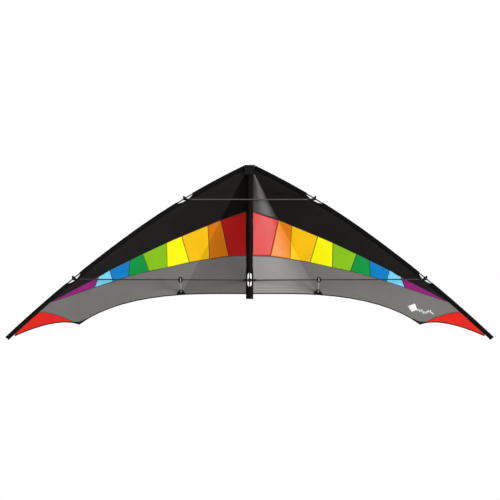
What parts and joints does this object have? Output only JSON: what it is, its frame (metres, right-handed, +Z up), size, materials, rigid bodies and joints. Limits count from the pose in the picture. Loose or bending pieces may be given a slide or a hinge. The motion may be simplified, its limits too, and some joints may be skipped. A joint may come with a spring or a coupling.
{
  "type": "delta kite",
  "caption": "Delta sport kite with a carbon frame, billowed wings of rainbow panels between black and grey, spreaders, tee, connectors and standoffs; wings fold about the spine.",
  "frame": {"origin": "on the spine's axis, level with the centre tee", "axes": "+X along the span to the kite's right as seen from the flier's side, +Y from the flier's side to the back, +Z up to the nose"},
  "size_m": [2.4024, 0.1357, 0.8623],
  "materials": {
    "carbon_rod": "wrapped carbon-fibre tube, satin resin",
    "grey_carbon": "dark grey pultruded carbon rod, satin",
    "pale_fibreglass": "pale grey fibreglass rod, satin",
    "ferrule_metal": "drawn aluminium tube",
    "black_rubber": "moulded flexible rubber",
    "black_nylon": "moulded nylon, fine grain",
    "black_vinyl": "dipped vinyl cap",
    "nose_webbing": "woven nylon webbing",
    "strip_webbing": "woven polyester reinforcing tape",
    "edge_cloth": "heavy woven polyester edge cloth, sewn",
    "patch_cloth": "stiff laminated patch cloth",
    "black_sailcloth": "coated ripstop sailcloth, black",
    "grey_sailcloth": "coated ripstop sailcloth, grey",
    "tip_sailcloth": "coated ripstop sailcloth, red",
    "red_sailcloth": "coated ripstop sailcloth, red",
    "orange_sailcloth": "coated ripstop sailcloth, orange",
    "amber_sailcloth": "coated ripstop sailcloth, amber",
    "yellow_sailcloth": "coated ripstop sailcloth, yellow",
    "lime_sailcloth": "coated ripstop sailcloth, lime",
    "green_sailcloth": "coated ripstop sailcloth, green",
    "blue_sailcloth": "coated ripstop sailcloth, blue",
    "sky_sailcloth": "coated ripstop sailcloth, sky",
    "purple_sailcloth": "coated ripstop sailcloth, purple"
  },
  "bodies": {
    "spine": {"spine_rod": "carbon_rod", "spine_sleeve": "edge_cloth", "spine_strip": "strip_webbing", "spine_end_cap": "black_vinyl", "nose_webbing": "nose_webbing", "centre_tee": "black_rubber"},
    "upper_spreader": {"upper_spreader": "grey_carbon", "right_upper_connector": "black_nylon"},
    "left_wing": {"left_upper_leading_rod": "carbon_rod", "left_lower_leading_rod": "carbon_rod", "left_leading_ferrule": "ferrule_metal", "left_leading_sleeve": "edge_cloth", "left_tip_nock": "black_vinyl", "left_leading_panel": "black_sailcloth", "left_trailing_panel": "grey_sailcloth", "left_tip_panel": "tip_sailcloth", "left_trailing_hem": "edge_cloth", "left_standoff_patch": "patch_cloth", "left_standoff_clip": "black_nylon", "left_red_panel": "red_sailcloth", "left_orange_panel": "orange_sailcloth", "left_amber_panel": "amber_sailcloth", "left_yellow_panel": "yellow_sailcloth", "left_lime_panel": "lime_sailcloth", "left_green_panel": "green_sailcloth", "left_blue_panel": "blue_sailcloth", "left_sky_panel": "sky_sailcloth", "left_purple_panel": "purple_sailcloth", "left_upper_connector": "black_rubber"},
    "left_lower_spreader": {"left_lower_spreader": "grey_carbon", "left_lower_connector": "black_nylon"},
    "left_standoff": {"left_standoff_connector": "black_nylon", "left_standoff_rod": "pale_fibreglass", "left_standoff_cap": "black_vinyl"},
    "right_wing": {"right_upper_leading_rod": "carbon_rod", "right_lower_leading_rod": "carbon_rod", "right_leading_ferrule": "ferrule_metal", "right_leading_sleeve": "edge_cloth", "right_tip_nock": "black_vinyl", "right_leading_panel": "black_sailcloth", "right_trailing_panel": "grey_sailcloth", "right_tip_panel": "tip_sailcloth", "right_trailing_hem": "edge_cloth", "right_standoff_patch": "patch_cloth", "right_standoff_clip": "black_nylon", "right_red_panel": "red_sailcloth", "right_orange_panel": "orange_sailcloth", "right_amber_panel": "amber_sailcloth", "right_yellow_panel": "yellow_sailcloth", "right_lime_panel": "lime_sailcloth", "right_green_panel": "green_sailcloth", "right_blue_panel": "blue_sailcloth", "right_sky_panel": "sky_sailcloth", "right_purple_panel": "purple_sailcloth"},
    "right_lower_spreader": {"right_lower_spreader": "grey_carbon", "right_lower_connector": "black_nylon"},
    "right_standoff": {"right_standoff_connector": "black_nylon", "right_standoff_rod": "pale_fibreglass", "right_standoff_cap": "black_vinyl"}
  },
  "joints": [
    {"name": "left_wing_fold", "type": "hinge", "parent": "spine", "child": "left_wing", "pos_m": [0, 0, 0], "axis": [0, 0, -1], "range_deg": [0, 50], "deforming": ["centre_tee", "spine_strip", "left_upper_connector"]},
    {"name": "right_wing_fold", "type": "hinge", "parent": "spine", "child": "right_wing", "pos_m": [0, 0, 0], "axis": [0, 0, 1], "range_deg": [0, 50], "deforming": ["centre_tee", "spine_strip", "left_upper_connector"]},
    {"name": "upper_spreader_swing", "type": "hinge", "parent": "right_wing", "child": "upper_spreader", "pos_m": [0.31912, 0, 0.40137], "axis": [-0.8574, 0, 0.5146], "range_deg": [0, 35], "deforming": ["left_upper_connector"]},
    {"name": "left_lower_spreader_swing", "type": "hinge", "parent": "left_wing", "child": "left_lower_spreader", "pos_m": [-0.86512, 0, 0.00937], "axis": [-0.7744, 0, -0.6327], "range_deg": [0, 40], "deforming": ["centre_tee"]},
    {"name": "right_lower_spreader_swing", "type": "hinge", "parent": "right_wing", "child": "right_lower_spreader", "pos_m": [0.86512, 0, 0.00937], "axis": [-0.7744, 0, 0.6327], "range_deg": [0, 40], "deforming": ["centre_tee"]},
    {"name": "left_standoff_swing", "type": "hinge", "parent": "left_lower_spreader", "child": "left_standoff", "pos_m": [-0.34, -0.01, 0.00148], "axis": [-1, 0, 0.0044], "range_deg": [0, 100]},
    {"name": "right_standoff_swing", "type": "hinge", "parent": "right_lower_spreader", "child": "right_standoff", "pos_m": [0.34, -0.01, 0.00148], "axis": [-1, 0, -0.0044], "range_deg": [0, 100]}
  ]
}
